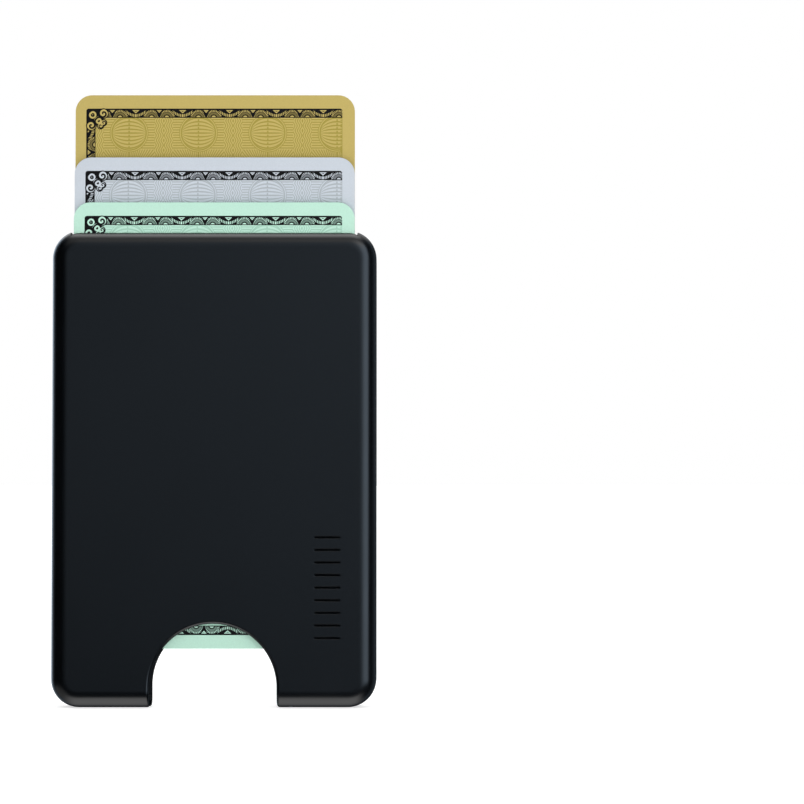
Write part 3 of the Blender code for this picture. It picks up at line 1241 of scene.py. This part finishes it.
def draw_panels():
    """Brightness of the mirrored room in each direction, and how neutral its colour is."""
    ray = room.nodes.new("ShaderNodeTexCoord")
    split = room.nodes.new("ShaderNodeSeparateXYZ")
    room.links.new(ray.outputs["Generated"], split.inputs["Vector"])
    x, y, z = (Number(room, split.outputs[axis]) for axis in "XYZ")
    front = y < 0.0
    turn = (x * -1.0 / y).do("ARCTANGENT") * (180 / math.pi)

    # The soft front, and a faint fill that covers all of the front but its far left.
    face = front * turn.ramp(-29.0, 4.0) * turn.ramp(62.0, 46.0)
    face = face * z.ramp(-0.50, 0.30) * z.ramp(-0.20, -0.09) * z.ramp(0.80, 0.55)
    fill = x.ramp(-0.60, -0.20) * front

    # The strip. Straight behind it the turn is the same, and there its weaker twin stands.
    strip = turn.ramp(4.0, 32.0) * turn.ramp(64.0, 47.0)
    strip = strip * z.ramp(0.85, 0.50) * z.ramp(-0.34, -0.10)
    strip_glow = front * (STRIP_GLOW - TWIN_GLOW) + TWIN_GLOW

    # The two behind that draw the rims.
    left_rim = x.ramp(-0.25, -0.60) * y.ramp(0.0, 0.45)
    right_rim = x.ramp(0.30, 0.70) * y.ramp(0.0, 0.20)

    # Overhead, brightest in its middle. Below, from the floor in front to the horizon behind.
    above = z.ramp(0.30, 0.70) * ABOVE_GLOW + z.ramp(0.82, 0.99) * ZENITH_GLOW
    above = above * abs(x).ramp(0.75, 0.35)
    below = z.ramp(-0.52, -0.76) | ((y > 0.0) & (z < 0.0))
    below = below * y.ramp(0.78, -0.45) * abs(x).ramp(0.70, 0.25) * BELOW_GLOW
    ground = z.ramp(-0.26, -0.42) * x.ramp(-0.30, -0.60) * y.ramp(0.30, 0.0) * GROUND_GLOW

    upright = face * FACE_GLOW + fill * FILL_GLOW + strip * strip_glow
    upright = upright + left_rim * LEFT_RIM_GLOW + right_rim * RIGHT_RIM_GLOW
    flat = above + below + ground
    return upright + flat, flat.ramp(0.0, 1.0)


brightness, neutral = draw_panels()
print("panels drawn with", len(room.nodes), "nodes")

# %% [markdown]
# The upright panels are a cool white, as daylight lamps are, and the flat ones neutral. Only
# mirrored rays see the panels. Camera rays see plain white, and matt surfaces a plain grey,
# so the background, the shading and the reflections are each set on their own.

# %% Tint the panels and choose what each kind of ray sees
COOL_WHITE = (0.80, 0.98, 1.18)
PLAIN_WHITE = (1.0, 1.0, 1.0)
MATT_LIGHT = 0.28


def add_background(strength):
    background = room.nodes.new("ShaderNodeBackground")
    background.inputs["Color"].default_value = (*PLAIN_WHITE, 1.0)
    background.inputs["Strength"].default_value = strength
    return background


def show_to(kind, others, chosen):
    """A shader that shows the chosen one to one kind of ray, and to the rest the other."""
    blend = room.nodes.new("ShaderNodeMixShader")
    room.links.new(ray_kinds[kind], blend.inputs["Fac"])
    room.links.new(others.outputs[0], blend.inputs[1])
    room.links.new(chosen.outputs[0], blend.inputs[2])
    return blend


mirrored = add_background(1.0)
tint = mix_colours(room, neutral.socket, COOL_WHITE, PLAIN_WHITE)
room.links.new(tint, mirrored.inputs["Color"])
room.links.new(brightness.socket, mirrored.inputs["Strength"])

ray_kinds = room.nodes.new("ShaderNodeLightPath").outputs
lit = show_to("Is Glossy Ray", add_background(MATT_LIGHT), mirrored)
seen = show_to("Is Camera Ray", lit, add_background(1.0))
room.links.new(seen.outputs[0], room.nodes["World Output"].inputs["Surface"])
bpy.context.scene.view_settings.view_transform = "Standard"
print("the world has", len(room.nodes), "nodes")

# %% [markdown]
# ## The size against the engineering model
#
# Fine edges must not make the wallet larger than its engineering model, so the growth of
# the box over the engineering one is printed.

# %% Print how much the box grew
new_low, new_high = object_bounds()
growth = [round((b - a) / MM, 3) for a, b in zip(cad_high - cad_low, new_high - new_low)]
print("visual box minus engineering box, in mm:", growth)
